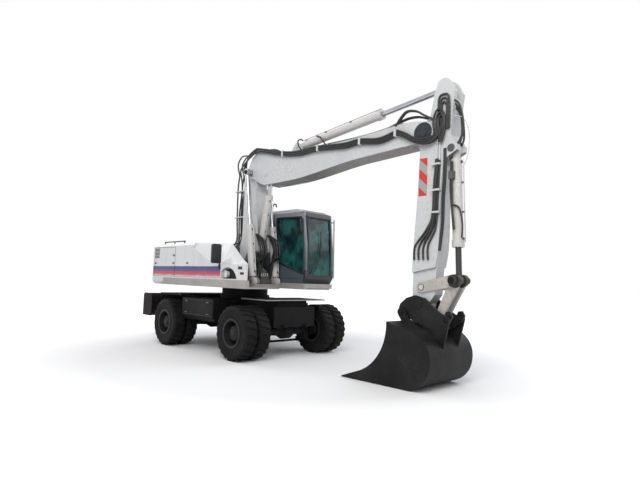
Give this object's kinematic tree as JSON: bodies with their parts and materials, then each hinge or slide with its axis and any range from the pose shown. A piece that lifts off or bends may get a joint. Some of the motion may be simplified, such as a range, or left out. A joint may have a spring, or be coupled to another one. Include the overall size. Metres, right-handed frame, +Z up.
{
  "type": "wheeled excavator",
  "caption": "Wheeled excavator with a two-piece boom, long arm, bucket on a quick coupler, twin tyres, side cab, sloped tank housing and a rear support blade.",
  "frame": {"origin": "on the ground, on the centre line, midway between the two axles", "axes": "+X forward along the undercarriage and the working arm, +Y to the left, +Z up"},
  "size_m": [8.082, 2.824, 4.8399],
  "materials": {
    "white_paint": "semi-gloss",
    "boom_paint": "semi-gloss",
    "beige_paint": "semi-gloss",
    "cab_paint": "semi-gloss",
    "black_paint": "satin",
    "engine_paint": "satin",
    "hub_paint": "satin",
    "tyre_rubber": "matt",
    "rod_chrome": "polished",
    "tinted_glass": "clear",
    "seat_fabric": "woven",
    "black_plastic": "matt"
  },
  "bodies": {
    "undercarriage": {"chassis": "black_paint", "front_axle": "black_paint", "rear_axle": "black_paint", "slew_ring": "black_paint", "drive_line": "black_paint"},
    "knuckle_left": {"knuckle_left": "black_paint"},
    "knuckle_right": {"knuckle_right": "black_paint"},
    "tie_rod": {"tie_rod": "black_paint"},
    "wheel_front_left": {"rim_front_left": "hub_paint", "tyres_front_left": "tyre_rubber"},
    "wheel_front_right": {"rim_front_right": "hub_paint", "tyres_front_right": "tyre_rubber"},
    "wheel_rear_left": {"rim_rear_left": "hub_paint", "tyres_rear_left": "tyre_rubber"},
    "wheel_rear_right": {"rim_rear_right": "hub_paint", "tyres_rear_right": "tyre_rubber"},
    "blade_arms": {"blade_arms": "black_paint"},
    "blade_links": {"blade_links": "black_paint"},
    "blade": {"blade": "black_paint"},
    "upper_body": {"upper_frame": "beige_paint", "counterweight": "white_paint", "hood": "white_paint", "engine": "engine_paint", "tank_housing": "white_paint", "cab_shell": "cab_paint", "cab_glass": "tinted_glass", "seat": "seat_fabric", "controls": "black_plastic", "mirrors": "black_plastic", "valve_block": "engine_paint"},
    "hood_lid": {"hood_lid": "white_paint"},
    "cab_door": {"cab_door": "cab_paint", "door_glass": "tinted_glass"},
    "lower_boom": {"lower_boom": "boom_paint"},
    "upper_boom": {"upper_boom": "boom_paint"},
    "arm": {"arm": "boom_paint"},
    "bucket": {"coupler": "black_paint", "bucket": "black_paint"},
    "rocker": {"rocker": "white_paint"},
    "push_link": {"push_link": "engine_paint"},
    "hoist_ram_tube": {"hoist_ram_tube": "white_paint"},
    "hoist_ram_rod": {"hoist_ram_rod": "rod_chrome"},
    "adjust_ram_tube": {"adjust_ram_tube": "white_paint"},
    "adjust_ram_rod": {"adjust_ram_rod": "rod_chrome"},
    "arm_ram_tube": {"arm_ram_tube": "white_paint"},
    "arm_ram_rod": {"arm_ram_rod": "rod_chrome"},
    "bucket_ram_tube": {"bucket_ram_tube": "white_paint"},
    "bucket_ram_rod": {"bucket_ram_rod": "rod_chrome"},
    "blade_ram_tube": {"blade_ram_tube": "black_paint"},
    "blade_ram_rod": {"blade_ram_rod": "rod_chrome"}
  },
  "joints": [
    {"name": "steer_left", "type": "hinge", "parent": "undercarriage", "child": "knuckle_left", "pos_m": [1.325, 0.62, 0.525], "axis": [0, 0, 1], "range_deg": [-30, 30]},
    {"name": "steer_right", "type": "hinge", "parent": "undercarriage", "child": "knuckle_right", "pos_m": [1.325, -0.62, 0.525], "axis": [0, 0, 1], "range_deg": [-30.5, 30.5]},
    {"name": "tie_rod_pivot", "type": "hinge", "parent": "knuckle_left", "child": "tie_rod", "pos_m": [1.035, 0.62, 0.265], "axis": [0, 0, 1], "range_deg": [-30.5, 30.5]},
    {"name": "wheel_front_left_spin", "type": "hinge", "parent": "knuckle_left", "child": "wheel_front_left", "pos_m": [1.325, 1.044, 0.525], "axis": [0, 1, 0], "continuous": true},
    {"name": "wheel_front_right_spin", "type": "hinge", "parent": "knuckle_right", "child": "wheel_front_right", "pos_m": [1.325, -1.044, 0.525], "axis": [0, 1, 0], "continuous": true},
    {"name": "wheel_rear_left_spin", "type": "hinge", "parent": "undercarriage", "child": "wheel_rear_left", "pos_m": [-1.35, 1.044, 0.525], "axis": [0, 1, 0], "continuous": true},
    {"name": "wheel_rear_right_spin", "type": "hinge", "parent": "undercarriage", "child": "wheel_rear_right", "pos_m": [-1.35, -1.044, 0.525], "axis": [0, 1, 0], "continuous": true},
    {"name": "blade_lift", "type": "hinge", "parent": "undercarriage", "child": "blade_arms", "pos_m": [-1.7, 0, 0.6], "axis": [0, -1, 0], "range_deg": [0, 80]},
    {"name": "blade_link_pivot", "type": "hinge", "parent": "undercarriage", "child": "blade_links", "pos_m": [-1.7, 0, 0.78], "axis": [0, -1, 0], "range_deg": [-0.5, 80.5]},
    {"name": "blade_pivot", "type": "hinge", "parent": "blade_arms", "child": "blade", "pos_m": [-2.05238, 0, 0.89568], "axis": [0, -1, 0], "range_deg": [-80.5, 0.5]},
    {"name": "blade_ram_pivot", "type": "hinge", "parent": "undercarriage", "child": "blade_ram_tube", "pos_m": [-1.4, 0, 1.01], "axis": [0, -1, 0], "range_deg": [0, 26.95]},
    {"name": "blade_ram_stroke", "type": "slide", "parent": "blade_ram_tube", "child": "blade_ram_rod", "axis": [-0.9593, 0, -0.2824], "range_m": [0, 0.3023]},
    {"name": "slew", "type": "hinge", "parent": "undercarriage", "child": "upper_body", "pos_m": [-0.12, 0, 1.3747], "axis": [0, 0, 1], "continuous": true},
    {"name": "hood_lid_hinge", "type": "hinge", "parent": "upper_body", "child": "hood_lid", "pos_m": [-0.95, 0, 2.3293], "axis": [0, 1, 0], "range_deg": [0, 60]},
    {"name": "cab_door_hinge", "type": "hinge", "parent": "upper_body", "child": "cab_door", "pos_m": [0.302, 1.2693, 2.2], "axis": [0, 0, 1], "range_deg": [0, 150]},
    {"name": "lower_boom_swing", "type": "hinge", "parent": "upper_body", "child": "lower_boom", "pos_m": [-0.17, 0, 1.9], "axis": [0, 1, 0], "range_deg": [-3, 40]},
    {"name": "upper_boom_swing", "type": "hinge", "parent": "lower_boom", "child": "upper_boom", "pos_m": [0.195, 0, 3.97], "axis": [0, -1, 0], "range_deg": [-26, 50]},
    {"name": "arm_swing", "type": "hinge", "parent": "upper_boom", "child": "arm", "pos_m": [4.79, 0, 4.01], "axis": [0, 1, 0], "range_deg": [-72, 26]},
    {"name": "bucket_swing", "type": "hinge", "parent": "arm", "child": "bucket", "pos_m": [4.73, 0, 1.28], "axis": [0, 1, 0], "range_deg": [-35, 80]},
    {"name": "rocker_pivot", "type": "hinge", "parent": "arm", "child": "rocker", "pos_m": [4.76, 0, 1.53], "axis": [0, 1, 0], "range_deg": [-24.29, 55.45]},
    {"name": "push_link_pivot", "type": "hinge", "parent": "rocker", "child": "push_link", "pos_m": [5.34, 0, 1.65], "axis": [0, 1, 0], "range_deg": [-10.21, 4.49]},
    {"name": "hoist_ram_pivot", "type": "hinge", "parent": "upper_body", "child": "hoist_ram_tube", "pos_m": [0.59, 0, 1.512], "axis": [0, 1, 0], "range_deg": [-2.72, 35.58]},
    {"name": "hoist_ram_stroke", "type": "slide", "parent": "hoist_ram_tube", "child": "hoist_ram_rod", "axis": [-0.1587, 0, 0.9873], "range_m": [-0.5603, 0.0429]},
    {"name": "adjust_ram_pivot", "type": "hinge", "parent": "lower_boom", "child": "adjust_ram_tube", "pos_m": [0.385, 0, 2.23], "axis": [0, -1, 0], "range_deg": [-2.87, 5.46]},
    {"name": "adjust_ram_stroke", "type": "slide", "parent": "adjust_ram_tube", "child": "adjust_ram_rod", "axis": [0.1898, 0, 0.9818], "range_m": [-0.2112, 0.4053]},
    {"name": "arm_ram_pivot", "type": "hinge", "parent": "upper_boom", "child": "arm_ram_tube", "pos_m": [1.61, 0, 4.37], "axis": [0, 1, 0], "range_deg": [-0.87, 2.31]},
    {"name": "arm_ram_stroke", "type": "slide", "parent": "arm_ram_tube", "child": "arm_ram_rod", "axis": [0.995, 0, 0.1002], "range_m": [-0.9177, 0.332]},
    {"name": "bucket_ram_pivot", "type": "hinge", "parent": "arm", "child": "bucket_ram_tube", "pos_m": [5.27, 0, 3.69], "axis": [0, 1, 0], "range_deg": [-1.69, 3.79]},
    {"name": "bucket_ram_stroke", "type": "slide", "parent": "bucket_ram_tube", "child": "bucket_ram_rod", "axis": [0.0343, 0, -0.9994], "range_m": [-0.233, 0.5314]}
  ],
  "couplings": [
    {"joint": "steer_right", "follows": "steer_left", "ratio": 1},
    {"joint": "tie_rod_pivot", "follows": "steer_left", "ratio": -1},
    {"joint": "blade_link_pivot", "follows": "blade_lift", "ratio": 1},
    {"joint": "blade_pivot", "follows": "blade_lift", "ratio": -1},
    {"joint": "blade_ram_pivot", "follows": "blade_lift", "ratio": 0.33294},
    {"joint": "blade_ram_stroke", "follows": "blade_lift", "m_per_rad": 0.21364},
    {"joint": "rocker_pivot", "follows": "bucket_swing", "ratio": 0.68563},
    {"joint": "push_link_pivot", "follows": "bucket_swing", "ratio": -0.12573},
    {"joint": "hoist_ram_pivot", "follows": "lower_boom_swing", "ratio": 0.87954},
    {"joint": "hoist_ram_stroke", "follows": "lower_boom_swing", "m_per_rad": -0.79319},
    {"joint": "adjust_ram_pivot", "follows": "upper_boom_swing", "ratio": 0.10721},
    {"joint": "adjust_ram_stroke", "follows": "upper_boom_swing", "m_per_rad": 0.4587},
    {"joint": "arm_ram_pivot", "follows": "arm_swing", "ratio": -0.031093},
    {"joint": "arm_ram_stroke", "follows": "arm_swing", "m_per_rad": 0.72225},
    {"joint": "bucket_ram_pivot", "follows": "bucket_swing", "ratio": 0.046327},
    {"joint": "bucket_ram_stroke", "follows": "bucket_swing", "m_per_rad": 0.3761}
  ]
}
